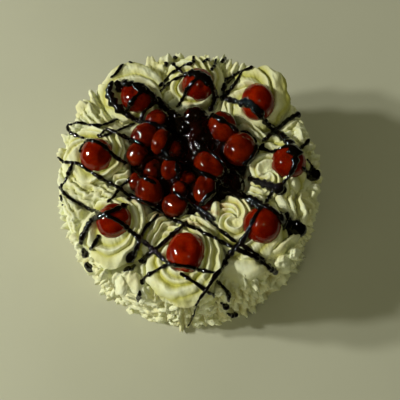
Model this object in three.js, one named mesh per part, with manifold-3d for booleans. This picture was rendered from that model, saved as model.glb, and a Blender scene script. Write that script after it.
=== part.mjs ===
// A round whipped-cream cherry cake, 150 mm across: a cream coat with piped columns up its side, a ring
// of eight piped swirls with a cherry on each, a mound of cherries in dark syrup in the middle, and
// chocolate sauce over it all. Millimetres, +Z up, the origin at the centre of the flat base.
import * as THREE from 'three';
import { mergeVertices } from 'three/addons/utils/BufferGeometryUtils.js';
import Module from 'manifold-3d';

const wasm = await Module();
wasm.setup();

// ---- driving dimensions -------------------------------------------------------------------------
const deckHeight = 62; // the level the swirls stand on
const sideRadius = 71.4; // middle of the piped columns
const baseFlare = 1.6; // the columns spread a little where they meet the board
const columnCount = 48; // piped columns round the side
const columnDepth = 1.7; // from the middle of a column's relief to its crest
const foldDepth = 1; // the folds that cross each column
const foldPitch = 11; // height of one fold, crest to crest
const ribDepth = 0.7; // the columns run on over the rim as ribs between the swirls

const gap = 0.35; // left between neighbouring solids
const swirlSides = 18; // facets round a swirl
const swirlHeight = 14.2; // from a swirl's foot to its crown
const swirlRoomTop = 79; // the sauce on other pieces keeps clear of a swirl up to here
const ridgePitch = 5.2; // along a swirl's slope, crest to crest
const ridgeDepth = 1; // from the middle of a swirl's relief to its trough
const ringCherryHeight = 76; // centre of the cherries on the swirls

const wellCentre = [1, 3]; // the dish in the top that holds the filling
const wellRadius = 31.6;
const wellFloor = 56;
const wellSides = 22; // its facets, and the syrup's
const syrupEdge = 65; // the syrup's level at its rim and in its middle
const syrupCrown = 70.5;

const sauceHeight = 1.5; // a strand's crest over what it lies on
const sauceSunk = 1; // how deep its underside lies in that
const sauceStep = 7; // spacing of the corners along a strand
const pourPoint = new THREE.Vector3(5.6, -125, 353); // the sauce is thrown from here, at the cake's front
const sauceLevel = 72; // the level at which its routes are given

// Each swirl of cream: its centre, its radius, and the centre and radius of its cherry.
const swirls = {
  front: { at: [-3, -50], radius: 19.6, cherry: [-2.8, -48.3], cherryRadius: 10 },
  front_left: { at: [-37, -32], radius: 17.8, cherry: [-38.2, -29.5], cherryRadius: 9 },
  left: { at: [-48, 9], radius: 17, cherry: [-47, 7.5], cherryRadius: 9.2 },
  back_left: { at: [-27.6, 48], radius: 18.2, cherry: [-26, 40.8], cherryRadius: 8.6 },
  back: { at: [7.4, 50], radius: 15.6, cherry: [8.6, 46.4], cherryRadius: 9.1 },
  back_right: { at: [40.4, 37], radius: 18, cherry: [40.1, 33.3], cherryRadius: 9.6 },
  right: { at: [48, -4], radius: 15.4, cherry: [52.6, -3.3], cherryRadius: 9.2 },
  front_right: { at: [31, -36], radius: 16.4, cherry: [35.8, -36.7], cherryRadius: 9.6 },
};

// The cherries of the mound, the uppermost first: centre, half-length, half-width, and the direction
// of the length. Each is pressed in where it lies against those before it.
const moundCherries = [
  { at: [28.5, 6, 74.5], half: [9.3, 8.8], turn: 90 },
  { at: [12, -2.5, 75], half: [9.6, 7.4], turn: -50 },
  { at: [-12.5, 13, 75.5], half: [7.8, 6], turn: 75 },
  { at: [-21.5, 18, 73], half: [8, 7], turn: 20 },
  { at: [20.4, 20.5, 73], half: [9.2, 7.8], turn: 100 },
  { at: [-8, -3, 75.2], half: [7, 6], turn: 100 },
  { at: [-19.8, -14.2, 74], half: [8.6, 7.4], turn: -50 },
  { at: [8.8, -14.6, 74.4], half: [8.6, 6], turn: 65 },
  { at: [-6.6, -22.4, 73], half: [7.4, 6.6], turn: 10 },
  { at: [-25.8, 7.5, 73], half: [6.8, 6.2], turn: 90 },
  { at: [-14.5, 27.5, 72], half: [7, 6.4], turn: 0 },
  { at: [5.8, 28.4, 71], half: [7, 6.4], turn: 0 },
  { at: [-4.5, 8.5, 71.4], half: [6.8, 6], turn: 90 },
  { at: [-16.6, -1.6, 71], half: [7, 6.6], turn: 0 },
  { at: [0.5, -8, 71.6], half: [6, 5.6], turn: 0 },
  { at: [-3.4, -13.8, 70.8], half: [6.6, 6], turn: 0 },
  { at: [8.6, -22.2, 69.6], half: [6.6, 5.8], turn: 20 },
  { at: [-26, -6.6, 70.4], half: [6, 5.4], turn: 60 },
  { at: [10, 12, 68.6], half: [7.4, 6.8], turn: 30 },
  { at: [22.6, -11, 68.4], half: [7.4, 6.6], turn: -30 },
];

// Strands of chocolate sauce: half-width, then the route.
const sauceStrands = [
  [1.3, [-66, 26], [-54, 19], [-45, 15], [-38, 8], [-32, 4]],
  [1.3, [-68, 9], [-56, 5], [-45, -5], [-35, -11], [-20, -19], [-10, -28], [4, -36], [14, -42], [24, -48], [41, -61]],
  [1.3, [-71, -2], [-62, -14], [-48, -24], [-36, -29], [-26, -38], [-13, -52], [-3, -53], [12, -59]],
  [1.7, [-38, 54], [-43, 50], [-43, 44], [-38, 38], [-29, 31], [-20, 27], [-10, 23]],
  [1.8, [-38, 54], [-28, 54], [-20, 50], [-17, 44], [-11, 38], [-7, 34], [0, 27]],
  [2, [3, 60], [10, 60], [17, 53], [19, 43], [16, 35], [13, 29]],
  [1.6, [20, 40], [30, 36], [39, 32], [43, 24], [49, 17], [54, 10], [60, 3]],
  [2, [30, -8], [36, -13], [47, -17]],
  [2.6, [20, -16], [31, -21], [40, -25], [50, -34], [55, -38]],
  [1.9, [-33, -50], [-28, -43], [-24, -34], [-16, -26]],
  [1.8, [-26, -51], [-17, -44], [-8, -36], [-2, -32]],
  [1.6, [1, -72], [7, -66], [14, -57], [24, -44], [31, -34], [37, -24], [44, -17]],
  [1.5, [-53, -45], [-55, -38], [-52, -32], [-46, -24]],
  [1.6, [21, 42], [25, 51], [33, 56], [42, 59]],
  [1.5, [41, 11], [48, 17], [56, 23], [63, 26]],
  [1.8, [60, 2], [60, -4], [55, -8], [50, -12], [47, -17]],
];

// ---- materials ----------------------------------------------------------------------------------
const cream = new THREE.MeshStandardMaterial({ color: 0xf1efcf, roughness: 0.55 });
const cherryRed = new THREE.MeshStandardMaterial({ color: 0x8e0d06, roughness: 0.12 });
const syrup = new THREE.MeshStandardMaterial({ color: 0x1d0405, roughness: 0.08 });

// ---- solids and geometries ----------------------------------------------------------------------
// Merges a geometry's vertices, so that only shared positions are left.
function welded(geometry) {
  geometry.deleteAttribute('normal');
  geometry.deleteAttribute('uv');
  return mergeVertices(geometry, 1e-4);
}

// Moves each vertex of a geometry by a function of its position.
function shaped(geometry, moveVertex) {
  const position = geometry.getAttribute('position');
  const vertex = new THREE.Vector3();
  for (let i = 0; i < position.count; i++) {
    vertex.fromBufferAttribute(position, i);
    moveVertex(vertex);
    position.setXYZ(i, vertex.x, vertex.y, vertex.z);
  }
  return geometry;
}

function solidOf(geometry) {
  const vertProperties = new Float32Array(geometry.getAttribute('position').array);
  const triVerts = new Uint32Array(geometry.index.array);
  return new wasm.Manifold(new wasm.Mesh({ numProp: 3, vertProperties, triVerts }));
}

function geometryOf(solid) {
  const mesh = solid.getMesh();
  const geometry = new THREE.BufferGeometry();
  geometry.setAttribute('position', new THREE.BufferAttribute(mesh.vertProperties, 3));
  geometry.setIndex(new THREE.BufferAttribute(mesh.triVerts, 1));
  return geometry;
}

// Keeps the largest body of a solid, so that no loose scrap is left.
function largestBody(solid) {
  return solid.decompose().reduce((best, body) => (body.volume() > best.volume() ? body : best));
}

// What is left of a solid after the others that its box meets are taken from it.
function cleared(solid, others) {
  const box = solid.boundingBox();
  const near = others.filter((other) => {
    const { min, max } = other.boundingBox();
    return [0, 1, 2].every((k) => min[k] < box.max[k] && box.min[k] < max[k]);
  });
  return wasm.Manifold.difference([solid, ...near]);
}

// A body turned about +Z from its outline of [radius, height] points, which starts and ends on the axis.
function turned(outline, segments) {
  const points = outline.map(([radius, height]) => new THREE.Vector2(radius, height));
  const lathe = new THREE.LatheGeometry(points, segments);
  lathe.rotateX(Math.PI / 2);
  return welded(lathe);
}

// An upright cylinder: centre, radius, and the heights of its foot and its top.
function upright([x, y], radius, foot, top, sides) {
  const body = turned([[0, foot], [radius, foot], [radius, top], [0, top]], sides);
  return body.translate(x, y, 0);
}

// ---- the cream coat -----------------------------------------------------------------------------
// Height of the cream between the swirls: uneven from place to place, with ribs that run inwards.
function coverHeight(angle, radius) {
  const uneven = 1.1 * Math.sin(3 * angle + 0.7) + 0.8 * Math.sin(5 * angle + radius / 9);
  const ribs = ribDepth * Math.cos(columnCount * angle) * Math.sin(radius / 3.1);
  const outwards = THREE.MathUtils.smoothstep(radius, 30, 60);
  return 66.2 + 1.6 * outwards + 1.2 * Math.max(0, Math.sin(angle)) * outwards + outwards * uneven + ribs;
}

// The coat: columns run round its side, folds cross them, half a fold apart from one column to the
// next, and the cream goes on over the rim up to the well.
function creamCoat() {
  const rimRows = [[71.2, 63.8], [68.6, 66.2], [61, 67], [48, 67], [31, 67]];
  const outline = [[0, 0]];
  const rows = Math.round((2 * (deckHeight - 1)) / foldPitch);
  for (let row = 0; row <= rows; row++) {
    const height = ((deckHeight - 1) * row) / rows;
    outline.push([sideRadius + baseFlare * Math.exp(-height / 7), height]);
  }
  outline.push(...rimRows, [0, 66]);
  const coat = shaped(turned(outline, 2 * columnCount), (v) => {
    const radius = Math.hypot(v.x, v.y);
    const angle = Math.atan2(v.y, v.x);
    if (radius > 68) {
      const folds = Math.cos((columnCount / 2) * angle) * Math.cos((2 * Math.PI * v.z) / foldPitch);
      const relief = columnDepth * Math.cos(columnCount * angle) + foldDepth * folds;
      v.x *= 1 + relief / radius;
      v.y *= 1 + relief / radius;
    }
    if (v.z > 66.5) v.z = coverHeight(angle, radius);
    else if (v.z > deckHeight) v.z += 0.5 * (coverHeight(angle, radius) - 67);
  });
  return solidOf(coat).subtract(solidOf(upright(wellCentre, wellRadius, wellFloor, 90, wellSides)));
}

// ---- swirls and cherries ------------------------------------------------------------------------
// A swirl: an upright foot, a round shoulder and a flat crown, with one ridge that winds up its slope.
function swirl({ at, radius }, index) {
  const slope = [[1, 0], [1, 0.35], [0.95, 0.56], [0.87, 0.74], [0.77, 0.87], [0.66, 0.95], [0.54, 0.99]];
  const outline = slope.map(([across, up]) => [radius * across, swirlHeight * up]);
  outline.unshift([0, 0]);
  outline.push([0, swirlHeight]);
  const body = shaped(turned(outline, swirlSides), (v) => {
    const across = Math.hypot(v.x, v.y);
    if (v.z > 0 && across > 0) {
      const travelled = radius - across + v.z;
      const phase = (2 * Math.PI * travelled) / ridgePitch - Math.atan2(v.y, v.x) + 2.4 * index;
      const inward = ridgeDepth * (Math.cos(phase) - 0.7) * THREE.MathUtils.smoothstep(v.z, 1, 7);
      const out = new THREE.Vector2(across - 0.55 * radius, Math.max(v.z - 3, 0)).normalize();
      v.x *= 1 + (inward * out.x) / across;
      v.y *= 1 + (inward * out.x) / across;
      v.z += inward * out.y;
    }
    v.x += at[0];
    v.y += at[1];
    v.z += deckHeight + gap;
  });
  return solidOf(body);
}

// The room that a swirl needs, with a clearance round it. A swirl that overhangs the rim has the rim cut
// away below it.
function swirlRoom({ at, radius }, clearance) {
  const room = upright(at, radius + clearance + 0.3 * ridgeDepth, deckHeight, swirlRoomTop, swirlSides);
  const reach = Math.hypot(...at);
  const overhang = reach + radius - 66;
  if (overhang < 2) return solidOf(room);
  const shifted = room.clone().translate((overhang * at[0]) / reach, (overhang * at[1]) / reach, 0);
  return solidOf(room).add(solidOf(shifted));
}

// A cherry: a ball with a dimple where the stem was, leaning by its own two angles. Grown by a
// distance, it is the seat that it lies in.
function cherry(centre, [halfLength, halfWidth], turn, index, rings, grownBy = 0) {
  const ball = welded(new THREE.SphereGeometry(1, rings + 3, rings));
  shaped(ball, (v) => {
    if (v.y > 0.99) v.y -= 0.18;
  });
  ball.rotateX(Math.PI / 2 + 0.8 * Math.sin(index * 2.1));
  ball.rotateZ(index * 1.3);
  const upright = halfWidth * (0.97 + 0.04 * Math.sin(index * 1.7));
  ball.scale(halfLength + grownBy, halfWidth + grownBy, upright + grownBy);
  ball.rotateZ(THREE.MathUtils.degToRad(turn));
  ball.translate(...centre);
  return solidOf(ball);
}

// The syrup that the mound lies in: a low dome in the well.
function syrupPool() {
  const floor = wellFloor + gap;
  const edge = wellRadius - gap;
  const outline = [[0, floor], [edge, floor], [edge, syrupEdge - 1]];
  for (const share of [0.94, 0.55]) {
    outline.push([edge * share, syrupEdge + (syrupCrown - syrupEdge) * Math.sqrt(1 - share * share)]);
  }
  outline.push([0, syrupCrown]);
  const pool = turned(outline, wellSides);
  pool.translate(wellCentre[0], wellCentre[1], 0);
  return solidOf(pool);
}

// ---- sauce --------------------------------------------------------------------------------------
// Throws a route onto the cake, and gives the stretches that land on one piece each, as points with
// the directions away from the surface.
function landed(route, targets) {
  const plan = route.map(([x, y]) => new THREE.Vector3(x, y, sauceLevel));
  const flat = new THREE.CatmullRomCurve3(plan, false, 'centripetal');
  const steps = Math.round(flat.getLength());
  const ray = new THREE.Raycaster();
  const stretches = [];
  for (const aim of flat.getSpacedPoints(steps)) {
    ray.set(pourPoint, aim.sub(pourPoint).normalize());
    const hit = ray.intersectObjects(targets, false)[0];
    if (!hit) continue;
    const last = stretches[stretches.length - 1];
    const landing = { point: hit.point, out: hit.face.normal };
    if (last && last.name === hit.object.name && last.landings.at(-1).point.distanceTo(hit.point) < 3) {
      last.landings.push(landing);
    } else stretches.push({ name: hit.object.name, landings: [landing] });
  }
  return stretches.filter(({ landings }) => landings.length > 7);
}

// A strand of sauce along a stretch, a little short of its ends: a triangle carried along its corners,
// with its underside sunk in what carries it.
function strand(landings, halfWidth, grownBy = 0) {
  const inner = landings.slice(1, -1);
  const steps = Math.max(1, Math.round((inner.length - 1) / sauceStep));
  const corners = [];
  for (let i = 0; i <= steps; i++) {
    const middle = Math.round(((inner.length - 1) * i) / steps);
    const around = landings.slice(Math.max(0, middle - 1), middle + 4);
    const out = around.reduce((sum, landing) => sum.add(landing.out), new THREE.Vector3()).normalize();
    corners.push({ point: inner[middle].point, out });
  }
  const half = halfWidth + grownBy;
  const section = [[-half, -sauceSunk - grownBy], [half, -sauceSunk - grownBy], [0, sauceHeight + grownBy]];
  const vertices = [];
  corners.forEach(({ point, out }, i) => {
    const ahead = corners[Math.min(steps, i + 1)].point.clone().sub(corners[Math.max(0, i - 1)].point);
    const across = ahead.cross(out).normalize();
    for (const [side, up] of section) {
      vertices.push(...point.clone().addScaledVector(across, side).addScaledVector(out, up).toArray());
    }
  });
  const faces = [0, 1, 2, 3 * steps, 3 * steps + 2, 3 * steps + 1];
  for (let i = 0; i < steps; i++) {
    for (let k = 0; k < 3; k++) {
      const a = 3 * i + k;
      const b = 3 * i + ((k + 1) % 3);
      faces.push(a, a + 3, b, b, a + 3, b + 3);
    }
  }
  const geometry = new THREE.BufferGeometry();
  geometry.setAttribute('position', new THREE.Float32BufferAttribute(vertices, 3));
  geometry.setIndex(faces);
  return solidOf(geometry);
}

// ---- assembly -----------------------------------------------------------------------------------
// Each piece: its solid, its material, the room to keep clear of the sauce on other pieces, and, where
// its own sauce must stop at a border, the region inside that border.
const pieces = new Map();
const placedSwirls = Object.entries(swirls);

const seats = [];
function addCherry(name, centre, half, turn, index, rings) {
  const seat = cherry(centre, half, turn, index, rings, gap);
  const solid = largestBody(cleared(cherry(centre, half, turn, index, rings), seats));
  pieces.set(name, { solid, room: seat, material: cherryRed });
  seats.push(seat);
}
placedSwirls.forEach(([place, { cherry: at, cherryRadius: radius }], index) => {
  addCherry(`cherry_${place}`, [...at, ringCherryHeight], [radius, radius], 0, index, 6);
});
moundCherries.forEach(({ at, half, turn }, index) => {
  addCherry(`mound_cherry_${index + 1}`, at, half, turn, index + 8, 5);
});
placedSwirls.forEach(([place, measures], index) => {
  const solid = largestBody(cleared(swirl(measures, index), seats));
  const within = solidOf(upright(measures.at, measures.radius + 0.3 * ridgeDepth, deckHeight + gap, 90, swirlSides));
  pieces.set(`swirl_${place}`, { solid, room: swirlRoom(measures, 2 * gap), within, material: cream });
});
const rooms = placedSwirls.map(([, measures]) => swirlRoom(measures, gap));
const coat = largestBody(cleared(creamCoat(), [...rooms, ...seats]));
pieces.set('cream_coat', { solid: coat, room: coat.translate([0, 0, gap]), material: cream });
pieces.set('syrup', {
  solid: largestBody(cleared(syrupPool(), seats)),
  room: solidOf(upright(wellCentre, wellRadius + gap, wellFloor, syrupCrown + gap, wellSides)),
  within: solidOf(upright(wellCentre, wellRadius - gap, wellFloor, 90, wellSides)),
  material: syrup,
});

// The sauce lands on the bare pieces, and each strand is then fused to the piece it lies on.
const bare = [...pieces].map(([name, { solid, material }]) => {
  const mesh = new THREE.Mesh(geometryOf(solid), material);
  mesh.name = name;
  return mesh;
});
const strands = [];
for (const [halfWidth, ...route] of sauceStrands) {
  for (const { name, landings } of landed(route, bare)) {
    const { within } = pieces.get(name);
    const whole = strand(landings, halfWidth);
    const foreign = [...pieces].filter(([other]) => other !== name).map(([, piece]) => piece.room);
    const crossing = strands.filter((other) => other.name !== name).map((other) => other.room);
    const ridge = cleared(within ? whole.intersect(within) : whole, [...foreign, ...crossing]);
    if (ridge.volume() < 3) continue;
    strands.push({ name, ridge: largestBody(ridge), room: strand(landings, halfWidth, gap) });
  }
}
for (const [name, piece] of pieces) {
  const ridges = strands.filter((other) => other.name === name).map((other) => other.ridge);
  if (ridges.length) piece.solid = largestBody(wasm.Manifold.union([piece.solid, ...ridges]));
}

const cake = new THREE.Group();
for (const [name, { solid, material }] of pieces) {
  const mesh = new THREE.Mesh(geometryOf(largestBody(solid.simplify(0.02))), material);
  mesh.name = name;
  cake.add(mesh);
}

export default cake;
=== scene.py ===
# A round whipped-cream cherry cake with a mound of cherries in dark syrup and chocolate sauce over it.
# Lengths are millimetres in the cake's own frame, and become metres as each mesh is made.
import math
import bpy
import numpy as np
from mathutils import Matrix, Vector
from mathutils.bvhtree import BVHTree


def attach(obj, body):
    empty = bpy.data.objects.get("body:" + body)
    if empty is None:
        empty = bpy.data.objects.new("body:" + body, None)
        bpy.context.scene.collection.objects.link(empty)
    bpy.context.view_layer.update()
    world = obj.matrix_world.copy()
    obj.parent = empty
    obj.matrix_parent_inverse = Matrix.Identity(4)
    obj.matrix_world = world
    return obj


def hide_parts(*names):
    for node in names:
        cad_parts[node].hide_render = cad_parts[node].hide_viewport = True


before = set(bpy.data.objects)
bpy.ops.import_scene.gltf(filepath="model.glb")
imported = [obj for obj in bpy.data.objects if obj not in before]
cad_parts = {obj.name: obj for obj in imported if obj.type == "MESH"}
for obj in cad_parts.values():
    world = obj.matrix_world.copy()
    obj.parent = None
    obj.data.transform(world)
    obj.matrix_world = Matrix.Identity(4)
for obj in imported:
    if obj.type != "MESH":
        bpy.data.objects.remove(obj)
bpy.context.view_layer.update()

mm = 0.001
fullTurn = 2 * math.pi
tiny = 1e-9
bellReach = 3  # a bell-shaped mean is cut off at this many widths
waves = {"count": 6, "octaves": 2, "height": 1.6}


def smooth(value, low, high):
    # rises from 0 at low to 1 at high as three squares less two cubes, level at both ends
    share = np.clip((value - low) / (high - low), 0, 1)
    return share * share * (3 - 2 * share)


def rumple(points, amount):
    # the amount is a height, a wave length and a seed: mean of seeded plane waves of that length, and
    # again at half the length and half the height
    height, size, seed = amount
    draw = np.random.default_rng(seed)
    total = np.zeros(points.shape[:-1])
    for octave in range(waves["octaves"]):
        ways = draw.normal(size=(waves["count"], 3))
        ways *= fullTurn * 2 ** octave / size / np.linalg.norm(ways, axis=1, keepdims=True)
        phases = draw.uniform(0, fullTurn, waves["count"])
        total += 0.5 ** octave * waves["height"] * np.sin(points @ ways.T + phases).mean(axis=-1)
    return height * total


def stacked(x, y, z):
    return np.stack(np.broadcast_arrays(x, y, z), axis=-1).astype(float)


def travelOf(line):
    # the distance along a line from its start to each of its points
    return np.concatenate([[0], np.linalg.norm(np.diff(line, axis=0), axis=1).cumsum()])


def spread(line, travel, places):
    # the points of a line at those places along it
    return np.stack([np.interp(places, travel, column) for column in line.T], axis=1)


def evenly(corners, count):
    # points spaced evenly along a broken line
    corners = np.array(corners, float)
    travel = travelOf(corners)
    return spread(corners, travel, np.linspace(0, travel[-1], count))


def rounded(line, width):
    # slides a bell-shaped mean of that width, in points, along a line whose ends stay
    reach = int(bellReach * width)
    bell = np.exp(-0.5 * (np.arange(-reach, reach + 1) / width) ** 2)
    bell /= bell.sum()
    ends = np.pad(line, ((reach, reach), (0, 0)), mode="edge")
    soft = np.stack([np.convolve(column, bell, mode="valid") for column in ends.T], axis=1)
    hold = np.minimum(np.arange(len(line)), np.arange(len(line))[::-1])[:, None]
    return line + (soft - line) * np.clip(hold / max(1, reach), 0, 1)


def unitOf(vectors):
    return vectors / np.maximum(np.linalg.norm(vectors, axis=1, keepdims=True), tiny)


def outwardOf(outline):
    # the direction away from a turned body, at each point of its outline of [radius, height]
    ahead = np.gradient(outline, axis=0)
    return unitOf(np.stack([ahead[:, 1], -ahead[:, 0]], axis=1))


def ringOf(count):
    # a row of that many angles, evenly round the turn
    return (np.arange(count) * fullTurn / count)[None, :]


def ballOf(rows, columns, pole):
    # points of a ball of radius 1, from its foot to its top, and their angles from the top and round it
    polar = np.linspace(pole, math.pi - pole, rows)[::-1, None]
    angle = ringOf(columns)
    unit = stacked(np.sin(polar) * np.cos(angle), np.sin(polar) * np.sin(angle), np.cos(polar) + 0 * angle)
    return unit, polar, angle


def alongOver(x, y, heading):
    # how far points lie along a heading, and to its left
    along = x * np.cos(heading) + y * np.sin(heading)
    over = y * np.cos(heading) - x * np.sin(heading)
    return along, over


def linked(name, data):
    # a new object of that data, in the scene
    holder = bpy.data.objects.new(name, data)
    bpy.context.scene.collection.objects.link(holder)
    return holder


def meshOf(name, parts, shares=()):
    # one mesh of several grids, each closed round its columns and by a middle point at both ends, with a
    # share from 0 to 1 at each point where the material needs one
    points, corners, starts = [], [], []
    pointCount, cornerCount = 0, 0
    for grid in parts:
        rows, columns = grid.shape[:2]
        ring = pointCount + np.arange(rows * columns).reshape(rows, columns)
        ahead = np.roll(ring, -1, axis=1)
        quads = np.stack([ring[:-1], ahead[:-1], ahead[1:], ring[1:]], axis=-1).reshape(-1)
        first = np.full(columns, pointCount + rows * columns)
        lids = np.concatenate([
            np.stack([ahead[0], ring[0], first], axis=-1).reshape(-1),
            np.stack([ring[-1], ahead[-1], first + 1], axis=-1).reshape(-1),
        ])
        points += [grid.reshape(-1, 3), grid[[0, -1]].mean(axis=1)]
        corners += [quads, lids]
        starts.append(cornerCount + np.arange(0, len(quads), 4))
        starts.append(cornerCount + len(quads) + np.arange(0, len(lids), 3))
        pointCount += rows * columns + 2
        cornerCount += len(quads) + len(lids)
    mesh = bpy.data.meshes.new(name)
    mesh.vertices.add(pointCount)
    mesh.vertices.foreach_set("co", (np.concatenate(points) * mm).astype(np.float32).ravel())
    mesh.loops.add(cornerCount)
    mesh.loops.foreach_set("vertex_index", np.concatenate(corners).astype(np.int32))
    starts = np.concatenate(starts)
    mesh.polygons.add(len(starts))
    mesh.polygons.foreach_set("loop_start", starts.astype(np.int32))
    mesh.polygons.foreach_set("use_smooth", np.ones(len(starts), bool))
    mesh.update(calc_edges=True)
    mesh.validate()
    if shares:
        values = [np.append(share.reshape(-1), share[[0, -1]].mean(axis=1)) for share in shares]
        attribute = mesh.attributes.new("share", "FLOAT", "POINT")
        attribute.data.foreach_set("value", np.clip(np.concatenate(values), 0, 1).astype(np.float32))
    return linked(name, mesh)


def placed(piece, material, slotName, *nodes):
    piece.data.materials.append(material)
    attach(piece, "root")
    if nodes:
        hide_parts(*nodes)
    return piece


class Signal:
    # a socket in a sum: each operator adds a Math node beside it
    def __init__(self, paint, socket):
        self.paint = paint
        self.socket = socket

    def maths(self, operation, *values):
        return self.paint.node("ShaderNodeMath", {"operation": operation}, dict(enumerate(values)))

    def __add__(self, other):
        return self.maths("ADD", self, other)

    def __radd__(self, other):
        return self.maths("ADD", other, self)

    def __sub__(self, other):
        return self.maths("SUBTRACT", self, other)

    def __rsub__(self, other):
        return self.maths("SUBTRACT", other, self)

    def __mul__(self, other):
        return self.maths("MULTIPLY", self, other)

    def __rmul__(self, other):
        return self.maths("MULTIPLY", other, self)

    def within(self, low, high, unit=1):
        # 0 below low, 1 above high, and smooth between
        inputs = {"Value": self, "From Min": low * unit, "From Max": high * unit}
        return self.paint.node("ShaderNodeMapRange", {"interpolation_type": "SMOOTHSTEP"}, inputs)


class Paint:
    # a material under construction, round one Principled shader
    def __init__(self, name):
        self.material = bpy.data.materials.new(name)
        self.material.use_nodes = True
        self.tree = self.material.node_tree
        self.shader = self.tree.nodes["Principled BSDF"]
        self.place = self.node("ShaderNodeTexCoord", {}, {}, "Object")

    def feed(self, node, inputs):
        for key, value in inputs.items():
            if isinstance(value, Signal):
                self.tree.links.new(value.socket, node.inputs[key])
            else:
                node.inputs[key].default_value = value

    def node(self, kind, settings, inputs, output=0):
        # any node: its type, settings, and values or links of its sockets
        made = self.tree.nodes.new(kind)
        for key, value in settings.items():
            setattr(made, key, value)
        self.feed(made, inputs)
        return Signal(self, made.outputs[output])

    def noise(self, size, detail=2, roughness=0.5):
        # soft random values about 0.5, whose patches are about that many millimetres across
        inputs = {"Vector": self.place, "Scale": 1 / (size * mm), "Detail": detail, "Roughness": roughness}
        return self.node("ShaderNodeTexNoise", {}, inputs)

    def share(self):
        # the share that the mesh carries at each point
        return self.node("ShaderNodeAttribute", {"attribute_name": "share"}, {}, "Fac")

    def radius(self):
        # the distance from the axis: the length of the place without its height
        across = self.node("ShaderNodeVectorMath", {"operation": "MULTIPLY"}, {0: self.place, 1: (1, 1, 0)})
        return self.node("ShaderNodeVectorMath", {"operation": "LENGTH"}, {0: across}, "Value")

    def height(self):
        return self.node("ShaderNodeSeparateXYZ", {}, {"Vector": self.place}, "Z")

    def mixed(self, share, low, high):
        # one colour where share is 0, the other where it is 1
        return self.node("ShaderNodeMix", {"data_type": "RGBA"}, {0: share, 6: low, 7: high}, 2)

    def bump(self, height, distance):
        # relief of a height from 0 to 1, that many millimetres deep
        return self.node("ShaderNodeBump", {}, {"Height": height, "Distance": distance * mm, "Strength": 1})

    def finish(self, inputs, look):
        # what varies over the surface, and the look's own gloss and glow
        inputs["Specular IOR Level"] = look["specular"]
        if "glow" in look:
            inputs["Subsurface Weight"] = look["glow"]
            inputs["Subsurface Radius"] = look["glowReach"]
            inputs["Subsurface Scale"] = mm
        self.feed(self.shader, inputs)
        return self.material


def shade(red, green, blue):
    # a colour as a screen shows it, from 0 to 255, as the shader's own values
    return tuple((part / 255) ** 2.2 for part in (red, green, blue)) + (1,)


creamPaint = {
    "lit": shade(241, 244, 203),
    "folds": shade(236, 233, 178),
    "patchSize": 9,
    # painted shade laid into the cream's creases, valleys and grooves
    "creaseShade": shade(190, 187, 74),
    "creaseShadeStrength": 0.9,
    # warm painted shade in the creases of the side, low down
    "sideShade": shade(178, 142, 84),
    "sideShadeReach": (66, 70),
    "sideShadeStrength": 0.8,
    "stain": shade(168, 96, 48),
    "stainReach": (30, 42),
    "stainSize": 4.5,
    "stainStrength": 0.6,
    "grainSizes": (1.1, 0.5),
    "grainDepth": 0.3,
    "roughness": 0.62,
    "roughnessVary": 0.12,
    "specular": 0.18,
    "glow": 0.06,
    "glowReach": (1.2, 1.0, 0.5),
}


def makeCream(look):
    # pale cream, yellower in patches, with painted shade in its creases that is warmer low on the side;
    # stained near the well
    paint = Paint("whipped cream")
    patches = paint.noise(look["patchSize"], 3)
    coarse, fine = look["grainSizes"]
    grain = paint.noise(coarse, 3, 0.6)
    color = paint.mixed(patches.within(0.35, 0.7), look["lit"], look["folds"])
    # painted shade: the share darkens and yellows the cream in its creases
    color = paint.mixed(paint.share() * look["creaseShadeStrength"], color, look["creaseShade"])
    radius = paint.radius()
    lowDown = 1 - paint.height().within(56, 63, mm)
    # warmer painted shade where the side's creases are, low down
    side = radius.within(*look["sideShadeReach"], mm) * lowDown
    color = paint.mixed(side * paint.share() * look["sideShadeStrength"], color, look["sideShade"])
    nearWell = 1 - radius.within(*look["stainReach"], mm)
    stain = nearWell * paint.noise(look["stainSize"], 3).within(0.45, 0.72) * look["stainStrength"]
    relief = grain * 0.7 + paint.noise(fine, 1) * 0.3
    return paint.finish({
        "Base Color": paint.mixed(stain, color, look["stain"]),
        "Roughness": look["roughness"] + grain * look["roughnessVary"],
        "Normal": paint.bump(relief, look["grainDepth"]),
    }, look)


cherryPaint = {
    "skin": shade(158, 40, 6),
    "deep": shade(106, 17, 4),
    "steepedSkin": shade(120, 33, 8),
    "steepedDeep": shade(68, 15, 6),
    # the syrup's colour, also used as painted shade on the side of a cherry away from the lamps
    "syrupCoatAndShade": shade(22, 14, 9),
    "coatVary": 0.9,
    "coatSize": 5,
    "patchSize": 7,
    "patchStrength": 0.7,
    "veinSize": 1.6,
    "veinStrength": 0.25,
    "dentSizes": (2.4, 1.1),
    "dentDepth": 0.08,
    "roughness": 0.025,
    "roughnessVary": 0.03,
    "specular": 0.5,
    "glow": 0.6,
    "glowReach": (2.6, 0.5, 0.1),
}


def makeCherry(name, steeped, look):
    # red skin, deeper in patches, in veins and with the mesh's share; steeped in syrup it is darker, and
    # turns unevenly to the syrup's colour with the share, which is syrup low down and painted shade on
    # the side away from the lamps
    paint = Paint(name)
    patches = paint.noise(look["patchSize"], 3)
    veins = paint.noise(look["veinSize"], 4, 0.65)
    depth = patches.within(0.35, 0.65) * look["patchStrength"] + veins * look["veinStrength"]
    if steeped:
        color = paint.mixed(depth, look["steepedSkin"], look["steepedDeep"])
        uneven = (paint.noise(look["coatSize"], 3) - 0.5) * look["coatVary"]
        # the syrup's dark colour, which is also painted shade on the side away from the lamps
        color = paint.mixed((paint.share() + uneven).within(0.1, 0.9), color, look["syrupCoatAndShade"])
    else:
        color = paint.mixed(depth, look["skin"], look["deep"])
        color = paint.mixed(paint.share(), color, look["steepedDeep"])
    wide, narrow = look["dentSizes"]
    relief = paint.noise(wide, 0) * 0.75 + paint.noise(narrow, 0) * 0.25
    return paint.finish({
        "Base Color": color,
        "Roughness": look["roughness"] + veins * look["roughnessVary"],
        "Normal": paint.bump(relief, look["dentDepth"]),
    }, look)


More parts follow.
